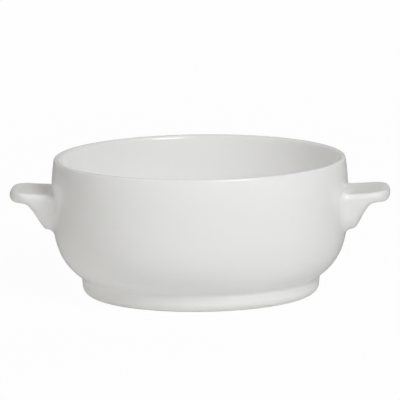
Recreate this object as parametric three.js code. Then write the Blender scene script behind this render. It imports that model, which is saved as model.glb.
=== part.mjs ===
// A soup bowl with two lug handles, in white glazed stoneware, as the clay pieces it is put together from:
// the body, the foot ring under it, the two handles, and the beds of slip that join them to the body.
// Millimetres, +Z up. The origin is on the table under the middle of the bowl. The handles lie along X.

import * as THREE from "three";

const { clamp, lerp, smoothstep } = THREE.MathUtils;

// Body
const HEIGHT = 51; // from the table to the top of the lip
const BELLY_DIAMETER = 110; // outside, at the widest level
const BELLY_DROP = 11.6; // from the top of the lip down to the widest level
const BELLY_SQUARENESS = 3.54; // exponent of the curve from belly to foot, 2 for an ellipse
const RIM_INSET = 0.8; // how far the wall draws in between the belly and the lip
const LIP_OUTER_RADIUS = 1;
const LIP_INNER_RADIUS = 1.6;
const BELLY_WALL = 4.6; // wall at the widest level
const FLOOR_THICKNESS = 4.6; // at the middle
const INSIDE_SQUARENESS = 4.4; // exponent of the curve from the inside wall to the floor
const UNDERSIDE_SAG = 1.6; // how far the underside hangs down at the middle, inside the foot ring

// Foot ring
const FOOT_HEIGHT = 7.3; // from the table to the crease under the body
const FOOT_INSET = 10.1; // from the belly in to the crease
const FOOT_STEP = 0.6; // from the crease in to the top of the foot ring
const FOOT_WIDTH = 7; // of the top face
const FOOT_DRAFT = 0.3; // how far the outside leans in on its way down
const FOOT_OUTER_ROUND = 3.6;
const FOOT_INNER_ROUND = 1;
const FOOT_LAND = 2.2; // width of the flat that it stands on

// Handles
const HANDLE_REACH = 15.7; // from the belly out to the tip
const HANDLE_DROP = 12.3; // from the top of the lip down to the handle's top at its root
const HANDLE_RISE = 1.1; // how far the top climbs from root to tip
const HANDLE_ROOT_WIDTH = 30.4;
const HANDLE_TIP_WIDTH = 26.5; // before the corners of the tip are rounded
const STEM_DEPTH = 14.2; // from top to bottom at the root
const STEM_REACH = 2.6; // from the wall out to where the underside starts to climb
const OGEE_LENGTH = 8.2; // run of the double curve between the stem and the plate
const OGEE_SKEW = 1.5; // above 1, the lower bend of that curve is tighter than the upper one
const PLATE_THICKNESS = 4.6; // of the thumb plate, before the tip's edge is rounded
const SIDE_LEAN = 0.35; // how far the sides come in for each millimetre down
const TOP_EDGE_ROUND = 4.1; // from the edge to where its rounding starts
const LOWER_EDGE_ROUND = 6;
const TIP_CORNER_LENGTH = 8.5; // length of the rounded tip, seen from above
const TIP_EDGE_LENGTH = 2.5; // length of the rounded tip, seen from the side

// Beds of slip
const SLIP_THICKNESS = 0.9;
const SLIP_FLARE = 1.2; // how far a handle's bed spreads out over the wall
const SEAT_GAP = 0.3; // clearance on both sides of a bed that follows the curved wall

// Fineness of the curved faces
const TURN_STEPS = 72;
const CURVE_STEPS = 12;
const ROUND_STEPS = 4;
const EDGE_STEPS = 4;
const CAP_STEPS = 4;
const STEM_STATIONS = 7;
const TIP_STATIONS = 9;

const TIP_CORNER_POWER = 2.6; // squarer than round, seen from above
const TIP_EDGE_POWER = 2; // round, seen from the side

const bellyRadius = BELLY_DIAMETER / 2;
const bellyLevel = HEIGHT - BELLY_DROP;
const creaseRadius = bellyRadius - FOOT_INSET;
const footRadius = creaseRadius - FOOT_STEP;
const footInnerRadius = footRadius - FOOT_WIDTH;
const footTop = FOOT_HEIGHT - SLIP_THICKNESS;
const undersideLevel = FOOT_HEIGHT - UNDERSIDE_SAG;
const floorLevel = undersideLevel + FLOOR_THICKNESS;
const bellyDepth = (bellyLevel - FOOT_HEIGHT) / superellipse(creaseRadius / bellyRadius, BELLY_SQUARENESS);

const lipRadius = bellyRadius - RIM_INSET - LIP_OUTER_RADIUS;
const lipRise = BELLY_DROP - LIP_OUTER_RADIUS;
const wallArcRadius = (RIM_INSET ** 2 + lipRise ** 2) / (2 * RIM_INSET) + LIP_OUTER_RADIUS;
const wallArcSweep = Math.asin(lipRise / (wallArcRadius - LIP_OUTER_RADIUS));

const handleTop = HEIGHT - HANDLE_DROP;
const handleStandoff = SLIP_THICKNESS + 2 * SEAT_GAP;

const glaze = new THREE.MeshStandardMaterial({ name: "glaze", color: 0xe3e2de, roughness: 0.2, metalness: 0 });
const slip = new THREE.MeshStandardMaterial({ name: "slip", color: 0xdcdad4, roughness: 0.35, metalness: 0 });

// One coordinate of the unit superellipse, from the other.
function superellipse(share, power) {
  return (1 - share ** power) ** (1 / power);
}

// Points along an arc of a profile, both ends included. Angles run from the outward direction up.
function arc(radius, level, round, from, to, steps = ROUND_STEPS) {
  return Array.from({ length: steps + 1 }, (_, i) => {
    const angle = lerp(from, to, i / steps);
    return new THREE.Vector2(radius + round * Math.cos(angle), level + round * Math.sin(angle));
  });
}

// Points along a superellipse quarter that hangs from a level, from one share of its angle to another.
function hangingCurve(radius, level, depth, power, from, to) {
  return Array.from({ length: CURVE_STEPS + 1 }, (_, i) => {
    const angle = lerp(from, to, i / CURVE_STEPS);
    const across = Math.max(0, Math.cos(angle)) ** (2 / power);
    const down = Math.sin(angle) ** (2 / power);
    return new THREE.Vector2(radius * across, level - depth * down);
  });
}

// The body's outside radius at a level between the crease and the lip.
function outerRadius(level) {
  if (level > bellyLevel) {
    return bellyRadius - wallArcRadius + Math.sqrt(wallArcRadius ** 2 - (level - bellyLevel) ** 2);
  }
  return bellyRadius * superellipse((bellyLevel - level) / bellyDepth, BELLY_SQUARENESS);
}

// A profile turned round the bowl's axis.
function turned(profile) {
  return new THREE.LatheGeometry(profile, TURN_STEPS).rotateX(Math.PI / 2);
}

function bodyGeometry() {
  const underside = Array.from({ length: ROUND_STEPS + 1 }, (_, i) => {
    const share = i / ROUND_STEPS;
    const level = undersideLevel + UNDERSIDE_SAG * share ** 2;
    return new THREE.Vector2(footInnerRadius * share, level);
  });
  const creaseDepth = (bellyLevel - FOOT_HEIGHT) / bellyDepth;
  const creaseAngle = Math.asin(creaseDepth ** (BELLY_SQUARENESS / 2));
  const belly = hangingCurve(bellyRadius, bellyLevel, bellyDepth, BELLY_SQUARENESS, creaseAngle, 0);
  const wall = arc(bellyRadius - wallArcRadius, bellyLevel, wallArcRadius, 0, wallArcSweep);
  const lipOutside = arc(lipRadius, HEIGHT - LIP_OUTER_RADIUS, LIP_OUTER_RADIUS, wallArcSweep, Math.PI / 2);
  const lipInside = arc(lipRadius, HEIGHT - LIP_INNER_RADIUS, LIP_INNER_RADIUS, Math.PI / 2, Math.PI);
  const insideRadius = bellyRadius - BELLY_WALL;
  const insideDepth = bellyLevel - floorLevel;
  const inside = hangingCurve(insideRadius, bellyLevel, insideDepth, INSIDE_SQUARENESS, 0, Math.PI / 2);
  return turned([
    ...underside,
    ...belly,
    ...wall.slice(1),
    ...lipOutside.slice(1),
    ...lipInside.slice(1),
    ...inside,
  ]);
}

function footGeometry() {
  const outerRound = Math.min(FOOT_OUTER_ROUND, footTop);
  const landOutside = footRadius - FOOT_DRAFT - outerRound;
  const landInside = landOutside - FOOT_LAND;
  const innerEdge = arc(landInside, FOOT_INNER_ROUND, FOOT_INNER_ROUND, Math.PI, Math.PI * 1.5);
  const outerEdge = arc(landOutside, outerRound, outerRound, Math.PI * 1.5, Math.PI * 2);
  const topOutside = new THREE.Vector2(footRadius, footTop);
  const topInside = new THREE.Vector2(footInnerRadius, footTop);
  return turned([...innerEdge, ...outerEdge, topOutside, topInside, innerEdge[0]]);
}

function footSlipGeometry() {
  const corners = [
    new THREE.Vector2(footInnerRadius, footTop),
    new THREE.Vector2(footRadius, footTop),
    new THREE.Vector2(footRadius, FOOT_HEIGHT),
    new THREE.Vector2(footInnerRadius, FOOT_HEIGHT),
  ];
  return turned([...corners, corners[0]]);
}

// How much of the handle's section is left at a distance from the wall, as the tip closes.
function tipShare(distance, length, power) {
  const into = Math.max(0, distance - (HANDLE_REACH - length)) / length;
  return superellipse(Math.min(1, into), power);
}

// The handle's section at a distance from the wall: half its top width, and its top and bottom levels.
function handleSection(distance) {
  const along = distance / HANDLE_REACH;
  const fullTop = handleTop + HANDLE_RISE * along;
  const run = clamp((distance - STEM_REACH) / OGEE_LENGTH, 0, 1);
  const climb = smoothstep(1 - (1 - run) ** OGEE_SKEW, 0, 1);
  const fullBottom = lerp(handleTop - STEM_DEPTH, handleTop + HANDLE_RISE - PLATE_THICKNESS, climb);
  const fullHalf = lerp(HANDLE_ROOT_WIDTH, HANDLE_TIP_WIDTH, along) / 2;
  const middle = (fullTop + fullBottom) / 2;
  const halfDepth = ((fullTop - fullBottom) / 2) * tipShare(distance, TIP_EDGE_LENGTH, TIP_EDGE_POWER);
  return {
    half: fullHalf * tipShare(distance, TIP_CORNER_LENGTH, TIP_CORNER_POWER),
    top: middle + halfDepth,
    bottom: middle - halfDepth,
  };
}

// The closed outline of a section in Y and Z, with leaning sides and rounded edges, seen from the tip.
function sectionOutline({ half, top, bottom }) {
  const depth = top - bottom;
  const low = half - SIDE_LEAN * depth;
  const upperRound = Math.min(TOP_EDGE_ROUND, depth / 2);
  const lowerRound = Math.min(LOWER_EDGE_ROUND, depth / 2, low);
  const corners = [
    { at: new THREE.Vector2(-low, bottom), round: lowerRound },
    { at: new THREE.Vector2(low, bottom), round: lowerRound },
    { at: new THREE.Vector2(half, top), round: upperRound },
    { at: new THREE.Vector2(-half, top), round: upperRound },
  ];
  const rounds = corners.map(({ at, round }, i) => {
    const [before, after] = [corners.at(i - 1).at, corners[(i + 1) % corners.length].at];
    const start = before.clone().sub(at).setLength(round).add(at);
    const end = after.clone().sub(at).setLength(round).add(at);
    return new THREE.QuadraticBezierCurve(start, at, end).getPoints(ROUND_STEPS);
  });
  return rounds.flatMap((points, i) => {
    const straight = new THREE.LineCurve(points.at(-1), rounds[(i + 1) % rounds.length][0]);
    return [...points, ...straight.getPoints(EDGE_STEPS).slice(1, -1)];
  });
}

// An outline drawn in towards its middle, as far as a share of its size.
function drawnIn(outline, share) {
  const levels = outline.map((point) => point.y);
  const middle = new THREE.Vector2(0, (Math.min(...levels) + Math.max(...levels)) / 2);
  return outline.map((point) => middle.clone().lerp(point, share));
}

// An outline set at a distance from the wall. Near the wall it follows its curve, and farther out it is flat.
function ring(outline, distance) {
  const flatness = smoothstep(distance, handleStandoff, HANDLE_REACH - TIP_CORNER_LENGTH);
  return outline.map((point) => {
    const wall = Math.sqrt(outerRadius(point.y) ** 2 - point.x ** 2);
    return new THREE.Vector3(lerp(wall, bellyRadius, flatness) + distance, point.x, point.y);
  });
}

// The rings of a face that follows the wall, from its middle out to its outline.
function cap(outline, distance) {
  return Array.from({ length: CAP_STEPS + 1 }, (_, i) => ring(drawnIn(outline, i / CAP_STEPS), distance));
}

// A closed surface over rings of equal count, whose first and last rings are points.
function loft(rings) {
  const count = rings[0].length;
  const index = [];
  for (let row = 0; row < rings.length - 1; row += 1) {
    for (let i = 0; i < count; i += 1) {
      const here = row * count + i;
      const beside = row * count + ((i + 1) % count);
      index.push(here, beside, beside + count, here, beside + count, here + count);
    }
  }
  const geometry = new THREE.BufferGeometry().setFromPoints(rings.flat());
  geometry.setIndex(index);
  geometry.computeVertexNormals();
  return geometry;
}

function handleGeometry() {
  const root = cap(sectionOutline(handleSection(handleStandoff)), handleStandoff);
  const tipStart = HANDLE_REACH - TIP_CORNER_LENGTH;
  const stations = [
    ...Array.from({ length: STEM_STATIONS }, (_, i) => lerp(handleStandoff, tipStart, (i + 1) / STEM_STATIONS)),
    ...Array.from({ length: TIP_STATIONS }, (_, i) => {
      const angle = (Math.PI / 2) * ((i + 1) / (TIP_STATIONS + 1));
      return tipStart + TIP_CORNER_LENGTH * Math.sin(angle);
    }),
  ];
  const sides = stations.map((distance) => ring(sectionOutline(handleSection(distance)), distance));
  const tip = ring(drawnIn(sectionOutline(handleSection(stations.at(-1))), 0), HANDLE_REACH);
  return loft([...root, ...sides, tip]);
}

function handleSlipGeometry() {
  const section = handleSection(handleStandoff);
  const spread = (flare) =>
    sectionOutline({ half: section.half + flare, top: section.top + flare, bottom: section.bottom - flare });
  const wallSide = SEAT_GAP;
  const waist = wallSide + SLIP_THICKNESS / 2;
  const handleSide = wallSide + SLIP_THICKNESS;
  return loft([
    ...cap(spread(SLIP_FLARE), wallSide),
    ring(spread(SLIP_FLARE / 4), waist),
    ...cap(spread(0), handleSide).reverse(),
  ]);
}

function piece(name, geometry, material) {
  const mesh = new THREE.Mesh(geometry, material);
  mesh.name = name;
  return mesh;
}

const bowl = new THREE.Group();
bowl.name = "soup_bowl";
bowl.add(
  piece("bowl_body", bodyGeometry(), glaze),
  piece("foot_ring", footGeometry(), glaze),
  piece("foot_slip", footSlipGeometry(), slip),
);
for (const [side, turn] of [["right", 0], ["left", Math.PI]]) {
  const lug = new THREE.Group();
  lug.rotation.z = turn;
  lug.add(
    piece(`${side}_handle`, handleGeometry(), glaze),
    piece(`${side}_handle_slip`, handleSlipGeometry(), slip),
  );
  bowl.add(lug);
}

export default bowl;
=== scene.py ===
"""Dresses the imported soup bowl: its turned body, its foot ring, its two lug handles and their slip.

Everything is in metres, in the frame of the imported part: the bowl stands on the table at Z = 0, its axis
is Z and its lugs lie along X. The viewer stands on the -Y side.
"""

import logging
import math
from collections.abc import Callable, Iterator
from contextlib import contextmanager
from dataclasses import dataclass
from enum import Enum
from functools import cached_property
from itertools import pairwise
from typing import Any, ClassVar

import bmesh
import bpy
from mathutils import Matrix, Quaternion, Vector
from mathutils.geometry import intersect_line_line


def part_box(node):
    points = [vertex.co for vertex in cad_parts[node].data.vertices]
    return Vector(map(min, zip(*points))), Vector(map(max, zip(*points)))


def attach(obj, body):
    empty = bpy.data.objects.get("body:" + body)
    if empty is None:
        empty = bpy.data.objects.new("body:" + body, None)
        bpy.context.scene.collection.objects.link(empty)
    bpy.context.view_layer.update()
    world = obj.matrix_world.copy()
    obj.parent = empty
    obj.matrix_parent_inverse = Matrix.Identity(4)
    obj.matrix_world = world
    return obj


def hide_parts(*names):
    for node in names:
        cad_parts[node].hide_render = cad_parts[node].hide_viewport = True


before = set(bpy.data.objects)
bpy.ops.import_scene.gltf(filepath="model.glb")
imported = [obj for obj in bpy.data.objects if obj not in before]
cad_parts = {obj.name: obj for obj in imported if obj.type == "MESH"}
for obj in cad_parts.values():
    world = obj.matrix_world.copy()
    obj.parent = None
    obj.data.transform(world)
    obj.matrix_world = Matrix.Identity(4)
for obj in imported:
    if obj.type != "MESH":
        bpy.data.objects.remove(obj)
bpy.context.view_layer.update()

TURN_STEPS = 160  # round the bowl
CURVE_STEPS = 48  # along a long curve of a profile
ROUND_STEPS = 12  # along a short one, such as the lip
WELD_DISTANCE = 1e-6
SHARP_ANGLE = math.radians(40)
RIGHT_ANGLE = math.pi / 2

log = logging.getLogger("soup_bowl")
Profile = list[Vector]
Colour = tuple[float, float, float]


class Slot(Enum):
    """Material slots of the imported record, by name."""

    GLAZE = "white_glaze"


class Side(Enum):
    """The two lugs, and how far each is turned round the bowl's axis."""

    RIGHT = 0.0
    LEFT = math.pi


class Kept(Enum):
    """What is kept of a form that holds a lug and its slip in one."""

    LUG = "lug"
    SLIP = "slip"


class Tint(Enum):
    """Colours of light in the studio."""

    WHITE = (1.0, 1.0, 1.0)
    COOL = (0.985, 0.993, 1.0)
    CREAM = (1.0, 0.99, 0.97)
    WARM = (1.0, 0.98, 0.945)


class Ray(Enum):
    """The kinds of ray that see the studio as plain white."""

    CAMERA = "Is Camera Ray"
    GLOSSY = "Is Glossy Ray"
    TRANSMISSION = "Is Transmission Ray"


# Curves

def mix(first: float, second: float, share: float) -> float:
    """Gives the number at a share of the way from the first to the second."""
    return first + (second - first) * share


def smooth_step(value: float, start: float, end: float) -> float:
    """Climbs softly from 0 at the start to 1 at the end."""
    share = min(1.0, max(0.0, (value - start) / (end - start)))
    return share * share * (3 - 2 * share)


def superellipse(share: float, power: float) -> float:
    """Gives one coordinate of the unit superellipse from the other."""
    return max(0.0, 1 - share ** power) ** (1 / power)


def shares(steps: int) -> list[float]:
    """Lists the shares from 0 to 1 that divide a way into equal steps."""
    return [step / steps for step in range(steps + 1)]


def point(radius: float, level: float) -> Vector:
    """Gives the point in the plane of X and Z at a distance from the bowl's axis and at a level."""
    return Vector((radius, 0.0, level))


def arc(radius: float, level: float, curve: float, start: float, end: float) -> Profile:
    """Draws a short round of a profile.

    Args:
        radius: Distance of the arc's centre from the bowl's axis.
        level: Height of the arc's centre.
        curve: Radius of the arc itself.
        start: First angle, from the outward direction up.
        end: Last angle.

    Returns:
        Points along the arc, both ends included.
    """
    angles = [mix(start, end, share) for share in shares(ROUND_STEPS)]
    return [point(radius + curve * math.cos(angle), level + curve * math.sin(angle)) for angle in angles]


def hanging_curve(
    radius: float, level: float, depth: float, power: float, start: float, end: float
) -> Profile:
    """Draws part of a superellipse quarter that hangs below a level.

    Args:
        radius: Half width of the superellipse at the level.
        level: Height that the curve hangs from.
        depth: How far down its lowest point is, on the axis.
        power: Its exponent, 2 for an ellipse and more for a squarer curve.
        start: First angle, 0 at the level and a right angle on the axis.
        end: Last angle.

    Returns:
        Points along the curve, both ends included.
    """
    points = []
    for share in shares(CURVE_STEPS):
        angle = mix(start, end, share)
        across = max(0.0, math.cos(angle)) ** (2 / power)
        down = math.sin(angle) ** (2 / power)
        points.append(point(radius * across, level - depth * down))
    return points


def fillet(corner: Vector, first: Vector, second: Vector, curve: float) -> Profile:
    """Draws the hollow round that fills a corner between two straight runs.

    Args:
        corner: Where the runs would meet.
        first: Direction of the run that the round starts on, away from the corner.
        second: Direction of the run that it ends on.
        curve: Radius of the round.

    Returns:
        Points from the first run to the second.
    """
    first = first.normalized()
    second = second.normalized()
    half_angle = first.angle(second) / 2
    centre = corner + (first + second).normalized() * (curve / math.sin(half_angle))
    reach = curve / math.tan(half_angle)
    start = corner + first * reach - centre
    end = corner + second * reach - centre
    turn = start.rotation_difference(end)
    still = Quaternion()
    return [centre + still.slerp(turn, share) @ start for share in shares(ROUND_STEPS)]


# Modelling

@contextmanager
def edit_mode() -> Iterator[None]:
    """Opens the active piece for editing, and closes it again."""
    bpy.ops.object.mode_set(mode="EDIT")
    yield
    bpy.ops.object.mode_set(mode="OBJECT")


def name_piece(piece: bpy.types.Object, name: str) -> None:
    """Gives a piece and its mesh the same name."""
    piece.name = name
    piece.data.name = name


def new_piece(name: str) -> bpy.types.Object:
    """Starts an empty mesh at the origin, as the only selected object.

    Args:
        name: Name of the new piece.

    Returns:
        The piece, still without vertices.
    """
    bpy.ops.object.select_all(action="DESELECT")
    bpy.ops.object.add(type="MESH")
    piece = bpy.context.active_object
    name_piece(piece, name)
    return piece


def select_vertices(piece: bpy.types.Object, wanted: Callable[[Vector], bool]) -> None:
    """Selects the vertices of the piece in edit mode, and the edges between them, by their place.

    Args:
        piece: The piece that is being edited.
        wanted: Says whether a vertex at a place is to be selected.
    """
    bpy.ops.mesh.select_mode(type="VERT")
    bpy.ops.mesh.select_all(action="DESELECT")
    mesh = bmesh.from_edit_mesh(piece.data)
    for vertex in mesh.verts:
        vertex.select_set(wanted(vertex.co))
    mesh.select_flush_mode()
    bmesh.update_edit_mesh(piece.data)


def close_to(first: float, second: float) -> bool:
    """Says whether two places along an axis are the same."""
    return abs(first - second) < WELD_DISTANCE


def select_planes(piece: bpy.types.Object, *planes: float) -> None:
    """Selects the vertices of the piece in edit mode that lie on any of some planes square to X."""
    select_vertices(piece, lambda place: any(close_to(place.x, plane) for plane in planes))


def turn_profile(name: str, profile: Profile) -> bpy.types.Object:
    """Draws a profile from a single vertex and spins it round the bowl's axis.

    Args:
        name: Name of the new piece.
        profile: Points that start and end on the axis, or end where they start.

    Returns:
        The turned piece, closed and smooth.
    """
    piece = new_piece(name)
    with edit_mode():
        bpy.ops.mesh.primitive_plane_add(size=WELD_DISTANCE, location=profile[0])
        bpy.ops.mesh.merge(type="CENTER")
        for start, end in pairwise(profile):
            bpy.ops.mesh.extrude_region_move(TRANSFORM_OT_translate={"value": end - start})
        bpy.ops.mesh.select_all(action="SELECT")
        bpy.ops.mesh.spin(steps=TURN_STEPS, angle=math.tau, center=(0.0, 0.0, 0.0), axis=point(0.0, 1.0))
        bpy.ops.mesh.select_all(action="SELECT")
        bpy.ops.mesh.remove_doubles(threshold=WELD_DISTANCE)
        bpy.ops.mesh.normals_make_consistent(inside=False)
    bpy.ops.object.shade_smooth_by_angle(angle=SHARP_ANGLE)
    return piece


def smooth_surface(piece: bpy.types.Object, levels: int) -> None:
    """Subdivides the active piece into a smooth surface and keeps the result as its mesh.

    Args:
        piece: The active piece.
        levels: How many times each face is divided.
    """
    bpy.ops.object.modifier_add(type="SUBSURF")
    modifier = piece.modifiers[-1]
    modifier.levels = levels
    modifier.render_levels = levels
    bpy.ops.object.modifier_apply(modifier=modifier.name)


def take_up(piece: bpy.types.Object) -> None:
    """Makes a piece the active one and the only one selected.

    Args:
        piece: The piece that the next operators act on.
    """
    bpy.ops.object.select_all(action="DESELECT")
    piece.select_set(True)
    bpy.context.view_layer.objects.active = piece


def copy_turned(piece: bpy.types.Object, name: str, angle: float) -> bpy.types.Object:
    """Copies a piece with a mesh of its own and turns the copy round the bowl's axis.

    Args:
        piece: The piece to copy.
        name: Name of the copy.
        angle: How far the copy is turned.

    Returns:
        The copy, with its place in its mesh.
    """
    take_up(piece)
    bpy.ops.object.duplicate(linked=False)
    copy = bpy.context.active_object
    name_piece(copy, name)
    bpy.ops.transform.rotate(value=angle, orient_axis="Z", center_override=(0.0, 0.0, 0.0))
    bpy.ops.object.transform_apply(location=True, rotation=True, scale=True)
    return copy


def fit(piece: bpy.types.Object, node: str, material: bpy.types.Material) -> None:
    """Gives a finished piece its glaze and sets it in the place of its solid.

    Args:
        piece: The finished piece.
        node: The solid that it stands for.
        material: Its finish.
    """
    piece.data.materials.append(material)
    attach(piece, "root")
    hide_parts(node)
    log.info("%s stands for %s, %d faces", piece.name, node, len(piece.data.polygons))


# Materials

@dataclass(frozen=True)
class Wire:
    """A number, colour or vector on its way through a node tree, with operators for numbers."""

    graph: "Graph"
    socket: bpy.types.NodeSocket

    def _math(self, operation: str, first: Any, second: Any) -> "Wire":
        """Adds a Math node."""
        return self.graph.node("ShaderNodeMath", {"operation": operation}, {0: first, 1: second})

    def __add__(self, other: Any) -> "Wire":
        """Adds another number."""
        return self._math("ADD", self, other)

    def __radd__(self, other: Any) -> "Wire":
        """Is added to a plain number."""
        return self._math("ADD", other, self)

    def __sub__(self, other: Any) -> "Wire":
        """Takes another number away."""
        return self._math("SUBTRACT", self, other)

    def __rsub__(self, other: Any) -> "Wire":
        """Is taken away from a plain number."""
        return self._math("SUBTRACT", other, self)

    def __mul__(self, other: Any) -> "Wire":
        """Multiplies by another number."""
        return self._math("MULTIPLY", self, other)

    def __rmul__(self, other: Any) -> "Wire":
        """Is multiplied with a plain number."""
        return self._math("MULTIPLY", other, self)


@dataclass(frozen=True)
class Graph:
    """A node tree that is written as expressions."""

    tree: bpy.types.NodeTree

    @classmethod
    def emptied(cls, owner: bpy.types.Material | bpy.types.World) -> "Graph":
        """Clears the nodes of a material or a world.

        Args:
            owner: The material or world.

        Returns:
            Its node tree, without nodes.
        """
        owner.use_nodes = True
        owner.node_tree.nodes.clear()
        return cls(owner.node_tree)

    def node(
        self, kind: str, settings: dict[str, Any], sockets: dict[Any, Any], output: Any = 0
    ) -> Wire | None:
        """Adds a node.

        Args:
            kind: Type of the node.
            settings: Properties of the node, which are set first.
            sockets: Values of its inputs, or the wires that lead to them.
            output: Name or number of the output that is wanted.

        Returns:
            The output as a wire, or nothing for a node without outputs.
        """
        made = self.tree.nodes.new(kind)
        for name, value in settings.items():
            setattr(made, name, value)
        for name, value in sockets.items():
            if isinstance(value, Wire):
                self.tree.links.new(value.socket, made.inputs[name])
            else:
                made.inputs[name].default_value = value
        return Wire(self, made.outputs[output]) if made.outputs else None

    def place(self) -> Wire:
        """Gives the place on the piece, in its own coordinates."""
        return self.node("ShaderNodeTexCoord", {}, {}, "Object")

    def noise(self, scale: float, detail: float) -> Wire:
        """Gives soft noise from 0 to 1, with so many waves to the metre."""
        sockets = {"Vector": self.place(), "Scale": scale, "Detail": detail}
        return self.node("ShaderNodeTexNoise", {}, sockets)

    def swing(self, scale: float, detail: float) -> Wire:
        """Gives the same noise, swinging evenly to both sides of 0."""
        return self.noise(scale, detail) - 0.5

    def along(self, axis: str) -> Wire:
        """Gives how far along an axis the place is."""
        return self.node("ShaderNodeSeparateXYZ", {}, {0: self.place()}, axis)

    def ramp(self, value: Wire, start: float, end: float) -> Wire:
        """Climbs softly from 0, where the value is at the start, to 1 at the end."""
        sockets = {"Value": value, "From Min": start, "From Max": end}
        return self.node("ShaderNodeMapRange", {"interpolation_type": "SMOOTHSTEP"}, sockets)

    def mix_colours(self, share: Wire, first: Any, second: Any) -> Wire:
        """Blends two colours by a share from 0 to 1.

        Args:
            share: How much of the second colour there is.
            first: A colour, or the wire of one.
            second: A colour, or the wire of one.

        Returns:
            The blended colour.
        """
        factor, colour_a, colour_b, colour_result = 0, 6, 7, 2  # numbers of the sockets for colours
        sockets = {factor: share, colour_a: opaque(first), colour_b: opaque(second)}
        return self.node("ShaderNodeMix", {"data_type": "RGBA"}, sockets, colour_result)

    def seen_white(self) -> Wire:
        """Gives 1 for the rays that see plain white, and 0 for the rays that light the bowl."""
        camera, glossy, transmission = (self.node("ShaderNodeLightPath", {}, {}, ray.value) for ray in Ray)
        return camera + glossy + transmission


def opaque(colour: Any) -> Any:
    """Adds full opacity to a plain colour, and leaves a wire as it is."""
    return colour if isinstance(colour, Wire) else (*colour, 1.0)


@dataclass(frozen=True)
class WhiteGlaze:
    """A warm white gloss glaze, a little deeper in tone where it lies thick."""

    name: str = "white_glaze"
    colour: Colour = (0.9, 0.899, 0.892)
    thick_colour: Colour = (0.885, 0.882, 0.868)
    cloud_scale: float = 34.0  # waves to the metre, as are the other scales
    cloud_detail: float = 3.0
    cloud_edges: tuple[float, float] = (0.3, 0.7)  # noise where a cloud starts and is full
    cloud_share: float = 0.5
    roughness: float = 0.17
    roughness_spread: float = 0.06
    drift_scale: float = 68.0  # of the roughness
    ripple_scale: float = 420.0
    ripple_depth: float = 0.00005
    ripple_strength: float = 0.12
    plain_detail: float = 2.0  # of all noise but clouds and grain

    def base_colour(self, graph: Graph) -> Wire:
        """Gives the cloudy white of the glaze."""
        clouds = graph.ramp(graph.noise(self.cloud_scale, self.cloud_detail), *self.cloud_edges)
        return graph.mix_colours(clouds * self.cloud_share, self.colour, self.thick_colour)

    def gloss(self, graph: Graph) -> Wire:
        """Gives the roughness, which drifts a little over the surface."""
        return self.roughness + graph.swing(self.drift_scale, self.plain_detail) * self.roughness_spread

    def relief(self, graph: Graph) -> Wire:
        """Gives the height of the faint ripple that the glaze sets with."""
        return graph.noise(self.ripple_scale, self.plain_detail)

    def material(self) -> bpy.types.Material:
        """Makes the material.

        Returns:
            The glaze, ready to be put on pieces.
        """
        made = bpy.data.materials.new(self.name)
        graph = Graph.emptied(made)
        ripple = {
            "Height": self.relief(graph),
            "Distance": self.ripple_depth,
            "Strength": self.ripple_strength,
        }
        sockets = {
            "Base Color": self.base_colour(graph),
            "Roughness": self.gloss(graph),
            "Normal": graph.node("ShaderNodeBump", {}, ripple),
        }
        shader = graph.node("ShaderNodeBsdfPrincipled", {}, sockets)
        graph.node("ShaderNodeOutputMaterial", {}, {"Surface": shader})
        return made


@dataclass(frozen=True)
class FootGlaze(WhiteGlaze):
    """The same glaze, wiped off the face that the foot stands on, where the fired clay is bare."""

    name: str = "foot_glaze"
    clay_colour: Colour = (0.7, 0.665, 0.6)
    clay_roughness: float = 0.75
    wiped_height: float = 0.0004
    wiped_edge: float = 0.00015  # height over which the glaze thins out, and how far that edge wanders
    wiped_scale: float = 300.0
    grain_scale: float = 2600.0
    grain_detail: float = 3.0
    grain_edges: tuple[float, float] = (0.35, 0.65)  # noise where a grain starts and is full
    grain_share: float = 0.35

    def bare(self, graph: Graph) -> Wire:
        """Gives 1 on the bare clay and 0 on the glaze, with a slightly uneven edge."""
        edge = graph.along("Z") + graph.swing(self.wiped_scale, self.plain_detail) * self.wiped_edge
        return 1 - graph.ramp(edge, self.wiped_height, self.wiped_height + self.wiped_edge)

    def base_colour(self, graph: Graph) -> Wire:
        """Gives white glaze above the wiped edge and the colour of the clay below it.

        Args:
            graph: The node tree that it is written in.

        Returns:
            The colour.
        """
        grain = graph.ramp(graph.noise(self.grain_scale, self.grain_detail), *self.grain_edges)
        clay = graph.mix_colours(grain * self.grain_share, self.clay_colour, self.thick_colour)
        return graph.mix_colours(self.bare(graph), super().base_colour(graph), clay)

    def gloss(self, graph: Graph) -> Wire:
        """Gives gloss on the glaze and none on the clay."""
        bare = self.bare(graph)
        return super().gloss(graph) * (1 - bare) + bare * self.clay_roughness

    def relief(self, graph: Graph) -> Wire:
        """Gives the glaze's ripple, and the grain of the clay where it is bare."""
        bare = self.bare(graph)
        return super().relief(graph) * (1 - bare) + graph.noise(self.grain_scale, self.grain_detail) * bare


# Pieces

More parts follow.
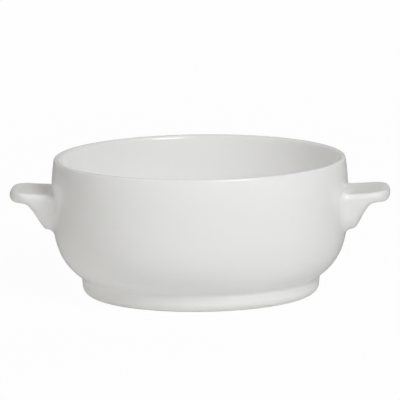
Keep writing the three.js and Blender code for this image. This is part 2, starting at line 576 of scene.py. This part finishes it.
@dataclass(frozen=True)
class BowlBody:
    """The turned body: underside, belly, wall, rounded lip and inside."""

    belly_drop: float = 0.0116  # from the top of the lip down to the widest level
    belly_squareness: float = 3.54  # exponent of the curve from belly to foot
    rim_inset: float = 0.0008  # how far the wall draws in between the belly and the lip
    lip_outer_round: float = 0.001
    lip_inner_round: float = 0.0016
    wall: float = 0.0046
    floor: float = 0.0046
    inside_squareness: float = 4.4  # exponent of the curve from the inside wall to the floor
    foot_width: float = 0.007
    foot_step: float = 0.0006  # from the crease in to the top of the foot ring

    @cached_property
    def belly_radius(self) -> float:
        """Outside radius at the widest level."""
        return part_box("bowl_body")[1].x

    @cached_property
    def height(self) -> float:
        """Top of the lip above the table."""
        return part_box("bowl_body")[1].z

    @cached_property
    def underside(self) -> float:
        """Lowest level of the underside, at its middle."""
        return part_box("bowl_body")[0].z

    @cached_property
    def crease_level(self) -> float:
        """Level where the belly ends over the foot."""
        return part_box("foot_slip")[1].z

    @cached_property
    def foot_radius(self) -> float:
        """Outside radius of the foot ring at its top."""
        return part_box("foot_ring")[1].x

    @property
    def belly_level(self) -> float:
        """Height of the widest level."""
        return self.height - self.belly_drop

    @property
    def crease_radius(self) -> float:
        """Outside radius of the body at the crease."""
        return self.foot_radius + self.foot_step

    @property
    def recess_radius(self) -> float:
        """Inside radius of the foot ring."""
        return self.foot_radius - self.foot_width

    @property
    def belly_depth(self) -> float:
        """Depth of the whole belly curve below the widest level."""
        share = superellipse(self.crease_radius / self.belly_radius, self.belly_squareness)
        return (self.belly_level - self.crease_level) / share

    @property
    def wall_arc(self) -> tuple[float, float]:
        """The arc that the wall follows from belly to lip.

        Returns:
            Its radius, and the angle that it sweeps.
        """
        rise = self.belly_drop - self.lip_outer_round
        inner_arc = (self.rim_inset ** 2 + rise ** 2) / (2 * self.rim_inset)
        return inner_arc + self.lip_outer_round, math.asin(rise / inner_arc)

    def radius_at(self, level: float) -> float:
        """Gives the outside radius of the belly and the wall.

        Args:
            level: Height between the crease and the lip.

        Returns:
            The radius at that level.
        """
        below = self.belly_level - level
        if below < 0:
            curve, _ = self.wall_arc
            return self.belly_radius - curve + math.sqrt(curve ** 2 - below ** 2)
        return self.belly_radius * superellipse(below / self.belly_depth, self.belly_squareness)

    def underside_curve(self) -> Profile:
        """Draws the hollow underside, from its middle out to the foot ring."""
        sag = self.crease_level - self.underside
        return [point(self.recess_radius * s, self.underside + sag * s ** 2) for s in shares(ROUND_STEPS)]

    def belly_curve(self) -> Profile:
        """Draws the belly, from the crease up to the widest level.

        Returns:
            Points along the curve, both ends included.
        """
        crease_share = (self.belly_level - self.crease_level) / self.belly_depth
        crease_angle = math.asin(crease_share ** (self.belly_squareness / 2))
        return hanging_curve(
            self.belly_radius, self.belly_level, self.belly_depth, self.belly_squareness, crease_angle, 0.0
        )

    def wall_and_lip(self) -> Profile:
        """Draws the wall, from the widest level up and over the lip.

        Returns:
            Points along the three arcs, both ends included.
        """
        curve, sweep = self.wall_arc
        crest = self.belly_radius - self.rim_inset - self.lip_outer_round
        wall = arc(self.belly_radius - curve, self.belly_level, curve, 0.0, sweep)
        outer = arc(crest, self.height - self.lip_outer_round, self.lip_outer_round, sweep, RIGHT_ANGLE)
        inner = arc(crest, self.height - self.lip_inner_round, self.lip_inner_round, RIGHT_ANGLE, math.pi)
        return wall + outer[1:] + inner[1:]

    def inside_curve(self) -> Profile:
        """Draws the inside, from the inner wall down to the middle of the floor.

        Returns:
            Points along the curve, both ends included.
        """
        radius = self.belly_radius - self.wall
        depth = self.belly_level - self.underside - self.floor
        return hanging_curve(radius, self.belly_level, depth, self.inside_squareness, 0.0, RIGHT_ANGLE)

    def profile(self) -> Profile:
        """Draws the whole profile, from the middle of the underside round to the middle of the floor."""
        return self.underside_curve() + self.belly_curve() + self.wall_and_lip()[1:] + self.inside_curve()

    def build(self, glaze: bpy.types.Material) -> None:
        """Turns the body and glazes it."""
        fit(turn_profile("turned_body", self.profile()), "bowl_body", glaze)


@dataclass(frozen=True)
class FootRing:
    """The foot ring under the body, and the slip that joins them."""

    body: BowlBody
    draft: float = 0.0003  # how far the outside leans in on its way down
    outer_round: float = 0.0036
    inner_round: float = 0.001
    land: float = 0.0022  # width of the flat that it stands on
    crease_round: float = 0.0026  # hollow of the slip outside
    recess_round: float = 0.0007  # hollow of the slip inside
    slope_step: float = 0.00065  # way up the belly over which its slope at the crease is taken

    @cached_property
    def top(self) -> float:
        """Level of the top face."""
        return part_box("foot_ring")[1].z

    @property
    def top_outside(self) -> Vector:
        """Outer edge of the top face."""
        return point(self.body.foot_radius, self.top)

    @property
    def top_inside(self) -> Vector:
        """Inner edge of the top face."""
        return point(self.body.recess_radius, self.top)

    def ring_profile(self) -> Profile:
        """Draws the ring's section.

        Returns:
            Points from the inner edge of the ring down, round and back to it.
        """
        land_outside = self.body.foot_radius - self.draft - self.outer_round
        land_inside = land_outside - self.land
        inner_edge = arc(land_inside, self.inner_round, self.inner_round, math.pi, 3 * RIGHT_ANGLE)
        outer_edge = arc(land_outside, self.outer_round, self.outer_round, 3 * RIGHT_ANGLE, math.tau)
        return inner_edge + outer_edge + [self.top_outside, self.top_inside, inner_edge[0]]

    def slip_profile(self) -> Profile:
        """Draws the section of the slip, with a hollow round on both sides.

        Returns:
            Points from the inner edge of the ring's top out, up the crease and back.
        """
        level = self.body.crease_level
        crease = point(self.body.crease_radius, level)
        recess = point(self.body.recess_radius, level)
        higher = level + self.slope_step
        up_the_belly = point(self.body.radius_at(higher), higher) - crease
        down_the_foot = point(-self.draft, self.outer_round - self.top)
        foot_line = (self.top_outside, self.top_outside + down_the_foot)
        belly_line = (crease, crease + up_the_belly)
        corner, _ = intersect_line_line(*foot_line, *belly_line)
        outer_hollow = fillet(corner, down_the_foot, up_the_belly, self.crease_round)
        inner_hollow = fillet(recess, point(-1.0, 0.0), point(0.0, -1.0), self.recess_round)
        outside = [self.top_outside, *outer_hollow, crease]
        inside = [recess, *inner_hollow, self.top_inside]
        return [self.top_inside, *outside, *inside]

    def build(self, glaze: bpy.types.Material, foot_glaze: bpy.types.Material) -> None:
        """Turns the ring and its slip and glazes them.

        Args:
            glaze: Finish of the slip that shows in the crease.
            foot_glaze: Finish of the ring.
        """
        fit(turn_profile("turned_foot", self.ring_profile()), "foot_ring", foot_glaze)
        fit(turn_profile("foot_join", self.slip_profile()), "foot_slip", glaze)


@dataclass(frozen=True)
class LugSection:
    """A flat upright section across a lug, with leaning sides and rounded corners."""

    distance: float  # from the wall
    half_width: float  # of the top
    low_half_width: float  # of the bottom
    top: float
    bottom: float
    upper_round: float
    lower_round: float

    EDGE_STEPS: ClassVar[int] = 6  # along each rounded corner

    def grown(self, distance: float, sides: float, above: float, below: float) -> "LugSection":
        """Gives a larger and rounder section at another distance.

        Args:
            distance: How far from the wall the new section is.
            sides: How far its lower edge spreads to each side. The upper edge spreads by the mean of
                this and of how much higher the section reaches.
            above: How much higher it reaches.
            below: How much lower it reaches.

        Returns:
            The larger section.
        """
        upper = (sides + above) / 2
        lower = (sides + below) / 2
        return LugSection(
            distance,
            self.half_width + upper,
            self.low_half_width + sides,
            self.top + above,
            self.bottom - below,
            self.upper_round + upper,
            self.lower_round + lower,
        )

    def draw(self, piece: bpy.types.Object, plane: float) -> None:
        """Adds the section's outline to a piece in edit mode.

        Args:
            piece: The piece that is being edited.
            plane: The section's place along X.
        """
        middle = point(plane, (self.top + self.bottom) / 2)
        bpy.ops.mesh.select_all(action="DESELECT")
        bpy.ops.mesh.primitive_plane_add(size=1.0, location=middle, rotation=(0.0, RIGHT_ANGLE, 0.0))
        size = (1.0, 2 * self.half_width, self.top - self.bottom)
        bpy.ops.transform.resize(value=size, center_override=middle)
        select_vertices(piece, lambda place: close_to(place.x, plane) and place.z < middle.z)
        lean = (1.0, self.low_half_width / self.half_width, 1.0)
        bpy.ops.transform.resize(value=lean, center_override=middle)
        bpy.ops.mesh.bevel(affect="VERTICES", offset=self.lower_round, segments=self.EDGE_STEPS)
        select_vertices(piece, lambda place: close_to(place.x, plane) and close_to(place.z, self.top))
        bpy.ops.mesh.bevel(affect="VERTICES", offset=self.upper_round, segments=self.EDGE_STEPS)
        select_planes(piece, plane)
        bpy.ops.mesh.delete(type="ONLY_FACE")


@dataclass(frozen=True)
class LugHandle:
    """A solid lug with a flat thumb plate, a double curve under it, a short stem and a bed of slip."""

    body: BowlBody
    drop: float = 0.0123  # from the top of the lip down to the lug's top at its root
    rise: float = 0.0011  # how far the top climbs from root to tip
    root_width: float = 0.0304
    tip_width: float = 0.0265  # before the corners of the tip are rounded
    stem_reach: float = 0.0026  # from the wall out to where the underside starts to climb
    ogee_length: float = 0.0082  # run of the double curve
    ogee_skew: float = 1.5  # above 1, its lower bend is tighter than its upper one
    plate_thickness: float = 0.0046
    side_lean: float = 0.35  # how far the sides come in for each metre down
    upper_round: float = 0.0027
    lower_round: float = 0.006
    corner_length: float = 0.0085  # of the rounded tip, seen from above
    corner_power: float = 2.6
    edge_length: float = 0.0025  # of the rounded tip, seen from the side
    edge_power: float = 2.0
    slip_reach: float = 0.0026  # how far the slip climbs along the lug
    slip_sides: float = 0.006  # how far it spreads over the wall beside the lug
    slip_above: float = 0.0012
    slip_below: float = 0.002
    slip_sunk: float = 0.00008  # how far its thin edge lies under the wall's surface
    edge_flare: float = 1.2  # spread of that edge, for 1 where the slip leaves the wall
    slip_steps: int = 8  # sections along the slip
    stem_steps: int = 8  # along the stem and the plate
    tip_steps: int = 12  # along the rounded tip
    levels: int = 3  # of the smooth surface

    @cached_property
    def reach(self) -> float:
        """Length from the belly to the tip."""
        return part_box("right_handle")[1].x - self.body.belly_radius

    @cached_property
    def stem_bottom(self) -> float:
        """Lowest level of the stem."""
        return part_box("right_handle")[0].z

    @property
    def top(self) -> float:
        """Level of the top at the root."""
        return self.body.height - self.drop

    def tip_share(self, distance: float, length: float, power: float) -> float:
        """Gives how much of a section is left at a distance, as the tip closes over its length."""
        into = max(0.0, distance - (self.reach - length)) / length
        return superellipse(min(1.0, into), power)

    def section_at(self, distance: float) -> LugSection:
        """Works out the lug's section.

        Args:
            distance: How far from the wall the section is.

        Returns:
            The section there.
        """
        along = distance / self.reach
        full_top = self.top + self.rise * along
        run = min(1.0, max(0.0, (distance - self.stem_reach) / self.ogee_length))
        climb = smooth_step(1 - (1 - run) ** self.ogee_skew, 0.0, 1.0)
        full_bottom = mix(self.stem_bottom, self.top + self.rise - self.plate_thickness, climb)
        middle = (full_top + full_bottom) / 2
        half_depth = (full_top - full_bottom) / 2
        half_depth *= self.tip_share(distance, self.edge_length, self.edge_power)
        half_width = mix(self.root_width, self.tip_width, along) / 2
        half_width *= self.tip_share(distance, self.corner_length, self.corner_power)
        low_half_width = half_width - self.side_lean * 2 * half_depth
        return LugSection(
            distance,
            half_width,
            low_half_width,
            middle + half_depth,
            middle - half_depth,
            min(self.upper_round, half_depth),
            min(self.lower_round, half_depth, low_half_width),
        )

    def lug_sections(self) -> list[LugSection]:
        """Lists the sections of the lug.

        Returns:
            Sections from the slip out to the tip, closer together where the tip rounds off.
        """
        tip_start = self.reach - self.corner_length
        stem = [mix(self.slip_reach, tip_start, share) for share in shares(self.stem_steps)[:-1]]
        angles = [RIGHT_ANGLE * share for share in shares(self.tip_steps)[:-1]]
        tip = [tip_start + self.corner_length * math.sin(angle) for angle in angles]
        return [self.section_at(distance) for distance in stem + tip]

    def flared(self, distance: float, flare: float) -> LugSection:
        """Gives the section of the slip at a distance, with so much of its full spread."""
        spread = [flare * full for full in (self.slip_sides, self.slip_above, self.slip_below)]
        return self.section_at(self.slip_reach).grown(distance, *spread)

    def slip_sections(self) -> list[LugSection]:
        """Lists the sections of the slip.

        Returns:
            Sections from its thin edge on the wall, in a hollow round, up to the lug.
        """
        sections = [self.flared(-self.slip_sunk, self.edge_flare)]
        for share in shares(self.slip_steps)[:-1]:
            angle = RIGHT_ANGLE * share
            sections.append(self.flared(self.slip_reach * (1 - math.cos(angle)), 1 - math.sin(angle)))
        return sections

    def seat_on_wall(self, piece: bpy.types.Object) -> None:
        """Moves each point of a straight piece along X so that its root follows the round wall.

        Args:
            piece: A lug or its slip, as if the wall were flat.
        """
        for vertex in piece.data.vertices:
            place = vertex.co
            distance = place.x - self.body.belly_radius
            wall = math.sqrt(self.body.radius_at(place.z) ** 2 - place.y ** 2)
            flatness = smooth_step(distance, self.slip_reach, self.reach - self.corner_length)
            place.x = mix(wall, self.body.belly_radius, flatness) + distance

    def loft(self, name: str) -> bpy.types.Object:
        """Bridges all sections into one smooth form, with the lug and its slip still in one.

        Args:
            name: Name of the new piece.

        Returns:
            The form on the right side of the bowl, as if the wall were flat.
        """
        piece = new_piece(name)
        sections = self.slip_sections() + self.lug_sections()
        planes = [self.body.belly_radius + section.distance for section in sections]
        with edit_mode():
            for section, plane in zip(sections, planes):
                section.draw(piece, plane)
            for near, far in pairwise(planes):
                select_planes(piece, near, far)
                bpy.ops.mesh.bridge_edge_loops()
            for plane in (planes[-1], planes[0]):
                select_planes(piece, plane)
                bpy.ops.mesh.edge_face_add()
            bpy.ops.transform.edge_crease(value=1.0)
        smooth_surface(piece, self.levels)
        return piece

    def finish(self, piece: bpy.types.Object, kept: Kept) -> None:
        """Cuts a form at the joint of lug and slip, keeps one of them and seats it on the wall.

        Args:
            piece: The form with both in one.
            kept: Which of them is kept.
        """
        take_up(piece)
        joint = point(self.body.belly_radius + self.slip_reach, 0.0)
        with edit_mode():
            bpy.ops.mesh.select_all(action="SELECT")
            bpy.ops.mesh.bisect(
                plane_co=joint,
                plane_no=(1.0, 0.0, 0.0),
                use_fill=True,
                clear_inner=kept is Kept.LUG,
                clear_outer=kept is Kept.SLIP,
                threshold=WELD_DISTANCE,
            )
            bpy.ops.mesh.select_all(action="SELECT")
            bpy.ops.mesh.normals_make_consistent(inside=False)
        self.seat_on_wall(piece)
        bpy.ops.object.shade_smooth_by_angle(angle=SHARP_ANGLE)

    def build(self, glaze: bpy.types.Material) -> None:
        """Models one lug and its slip, copies them to the other side and glazes all four.

        Args:
            glaze: Their finish.
        """
        lug = self.loft("right_lug")
        slip = copy_turned(lug, "right_lug_join", Side.RIGHT.value)
        self.finish(lug, Kept.LUG)
        self.finish(slip, Kept.SLIP)
        pieces = {
            "right_handle": lug,
            "right_handle_slip": slip,
            "left_handle": copy_turned(lug, "left_lug", Side.LEFT.value),
            "left_handle_slip": copy_turned(slip, "left_lug_join", Side.LEFT.value),
        }
        for node, piece in pieces.items():
            fit(piece, node, glaze)


# Studio

@dataclass(frozen=True)
class Softbox:
    """A square lamp that faces the bowl."""

    name: str
    turn: float  # degrees round from the viewer's side, towards the right lug
    elevation: float  # degrees above the table
    size: float
    power: float  # watts
    distance: float = 1.2
    tint: Tint = Tint.WHITE
    shows: bool = True  # as a highlight in the glaze

    def place(self, target: Vector) -> None:
        """Hangs the lamp so that it faces the target.

        Args:
            target: The point that it faces.
        """
        outward = direction(self.turn, self.elevation)
        facing = outward.to_track_quat("Z", "Y").to_euler()
        bpy.ops.object.light_add(type="AREA", location=target + outward * self.distance, rotation=facing)
        lamp = bpy.context.active_object
        lamp.name = self.name
        lamp.data.size = self.size
        lamp.data.energy = self.power
        lamp.data.color = self.tint.value
        lamp.visible_glossy = self.shows


def direction(turn: float, elevation: float) -> Vector:
    """Gives the direction from the bowl to something round it.

    Args:
        turn: Degrees round from the viewer's side, towards the right lug.
        elevation: Degrees above the table.

    Returns:
        A direction of length 1.
    """
    turn = math.radians(turn)
    elevation = math.radians(elevation)
    level = math.cos(elevation)
    return Vector((math.sin(turn) * level, -math.cos(turn) * level, math.sin(elevation)))


@dataclass(frozen=True)
class Screen:
    """Tones of a screen that shows only as a reflection in the glaze."""

    name: str
    front: Colour  # on the viewer's side
    back: Colour  # behind the bowl
    blend: float = 0.1  # half the length over which the tones pass into each other

    def dress(self, made: bpy.types.Object) -> None:
        """Gives a wall or floor these tones and hides it from all but the glaze.

        Args:
            made: The wall or floor, centred on the bowl's axis.
        """
        made.name = self.name
        made.visible_camera = False
        made.visible_diffuse = False
        made.visible_transmission = False
        made.visible_shadow = False
        cloth = bpy.data.materials.new(self.name)
        graph = Graph.emptied(cloth)
        behind = graph.ramp(graph.along("Y"), -self.blend, self.blend)
        front = graph.node("ShaderNodeEmission", {}, {"Color": opaque(self.front)})
        back = graph.node("ShaderNodeEmission", {}, {"Color": opaque(self.back)})
        both = graph.node("ShaderNodeMixShader", {}, {0: behind, 1: front, 2: back})
        graph.node("ShaderNodeOutputMaterial", {}, {"Surface": both})
        made.data.materials.append(cloth)


@dataclass(frozen=True)
class Studio:
    """The white table, the grey surround, the lamps and the camera."""

    aim_height: float = 0.03465  # of the point on the bowl's axis in the middle of the picture
    camera_turn: float = 3.0  # degrees, as are elevation and roll
    camera_elevation: float = 9.5
    camera_roll: float = -0.648
    camera_distance: float = 2.27
    picture_width: float = 0.1485  # across the picture at the bowl's axis
    table_size: float = 8.0
    table_colour: Colour = (0.88, 0.88, 0.87)
    table_white: float = 0.96  # share of plain white in the table as it is seen
    table_glow: float = 0.16  # share of plain white in the table as it lights the bowl from below
    surround_radius: float = 1.6
    surround_height: float = 1.8
    surround_lift: float = 1e-6  # of its floor above the table
    surround_wall: Screen = Screen("surround_wall", (0.8, 0.797, 0.785), (0.37, 0.365, 0.35))
    surround_floor: Screen = Screen("surround_floor", (0.64, 0.637, 0.62), (0.24, 0.238, 0.23))
    ambient: float = 0.01
    lamps: tuple[Softbox, ...] = (
        Softbox("key", turn=34.0, elevation=38.0, size=0.45, power=8.3, tint=Tint.COOL),
        Softbox("overhead", turn=75.0, elevation=76.0, size=0.35, power=0.8, distance=0.9),
        Softbox("left_fill", turn=-65.0, elevation=25.0, size=0.8, power=3.3, tint=Tint.WARM, shows=False),
        Softbox("front_low", turn=5.0, elevation=8.0, size=0.4, power=0.8, shows=False),
        Softbox(
            "back_left_fill", turn=-150.0, elevation=20.0, size=0.7, power=4.5, tint=Tint.CREAM, shows=False
        ),
        Softbox(
            "back_right_fill", turn=150.0, elevation=20.0, size=0.7, power=4.7, tint=Tint.CREAM, shows=False
        ),
    )

    @property
    def aim(self) -> Vector:
        """The point that the camera and the lamps face."""
        return point(0.0, self.aim_height)

    def lay_table(self) -> None:
        """Lays the table, which looks white and still takes the bowl's shadow."""
        bpy.ops.object.select_all(action="DESELECT")
        bpy.ops.mesh.primitive_plane_add(size=self.table_size)
        table = bpy.context.active_object
        table.name = "table"
        cover = bpy.data.materials.new("table_white")
        graph = Graph.emptied(cover)
        paint = graph.node("ShaderNodeBsdfDiffuse", {}, {"Color": opaque(self.table_colour)})
        glow = graph.node("ShaderNodeEmission", {}, {"Strength": 1.0})
        share = self.table_glow + graph.seen_white() * (self.table_white - self.table_glow)
        seen = graph.node("ShaderNodeMixShader", {}, {0: share, 1: paint, 2: glow})
        graph.node("ShaderNodeOutputMaterial", {}, {"Surface": seen})
        table.data.materials.append(cover)

    def set_surround(self) -> None:
        """Sets a grey wall and floor all round, which only the glaze shows, as the bowl's dark outline."""
        bpy.ops.mesh.primitive_cylinder_add(
            vertices=TURN_STEPS,
            radius=self.surround_radius,
            depth=self.surround_height,
            location=point(0.0, self.surround_height / 2),
            end_fill_type="NOTHING",
        )
        self.surround_wall.dress(bpy.context.active_object)
        bpy.ops.mesh.primitive_circle_add(
            vertices=TURN_STEPS,
            radius=self.surround_radius,
            location=point(0.0, self.surround_lift),
            fill_type="NGON",
        )
        self.surround_floor.dress(bpy.context.active_object)

    def light(self) -> None:
        """Sets the even light of the room and hangs the lamps."""
        room = bpy.data.worlds.new("room")
        bpy.context.scene.world = room
        graph = Graph.emptied(room)
        strength = self.ambient + graph.seen_white() * (1.0 - self.ambient)
        sockets = {"Color": opaque(Tint.WHITE.value), "Strength": strength}
        sky = graph.node("ShaderNodeBackground", {}, sockets)
        graph.node("ShaderNodeOutputWorld", {}, {"Surface": sky})
        for lamp in self.lamps:
            lamp.place(self.aim)

    def set_camera(self) -> None:
        """Sets the camera at the viewing angle of the photograph."""
        outward = direction(self.camera_turn, self.camera_elevation)
        roll = Quaternion((0.0, 0.0, 1.0), math.radians(self.camera_roll))
        facing = outward.to_track_quat("Z", "Y") @ roll
        place = self.aim + outward * self.camera_distance
        bpy.ops.object.camera_add(location=place, rotation=facing.to_euler())
        camera = bpy.context.active_object
        camera.name = "viewer"
        camera.data.lens = camera.data.sensor_width * self.camera_distance / self.picture_width
        bpy.context.scene.camera = camera
        bpy.context.scene.view_settings.view_transform = "Standard"


def main() -> None:
    """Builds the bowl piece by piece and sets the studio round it."""
    logging.basicConfig(level=logging.INFO, format="%(name)s: %(message)s")
    glaze = WhiteGlaze().material()
    body = BowlBody()
    body.build(glaze)
    FootRing(body).build(glaze, FootGlaze().material())
    LugHandle(body).build(glaze)
    studio = Studio()
    studio.lay_table()
    studio.set_surround()
    studio.light()
    studio.set_camera()


if __name__ == "__main__":
    main()
